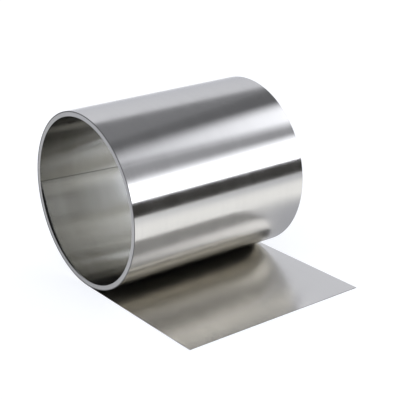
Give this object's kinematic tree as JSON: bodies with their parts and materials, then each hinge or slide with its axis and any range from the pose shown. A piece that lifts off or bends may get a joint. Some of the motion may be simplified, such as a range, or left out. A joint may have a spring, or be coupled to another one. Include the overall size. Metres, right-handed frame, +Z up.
{
  "type": "stainless steel foil roll",
  "caption": "Narrow roll of bright rolled stainless steel foil lying on its side, with its outer end drawn off flat and a free lap inside the open bore.",
  "frame": {"origin": "on the floor, under the middle of the whole roll's box", "axes": "+X along the coil's axis, across the strip; the flat tail runs towards -Y; +Z up"},
  "size_m": [0.1, 0.1268, 0.0874],
  "materials": {
    "stainless_steel": "bright rolled foil, fine streaks along the strip, soft mirror-like reflections"
  },
  "bodies": {
    "root": {"foil_strip": "stainless_steel"}
  },
  "joints": []
}
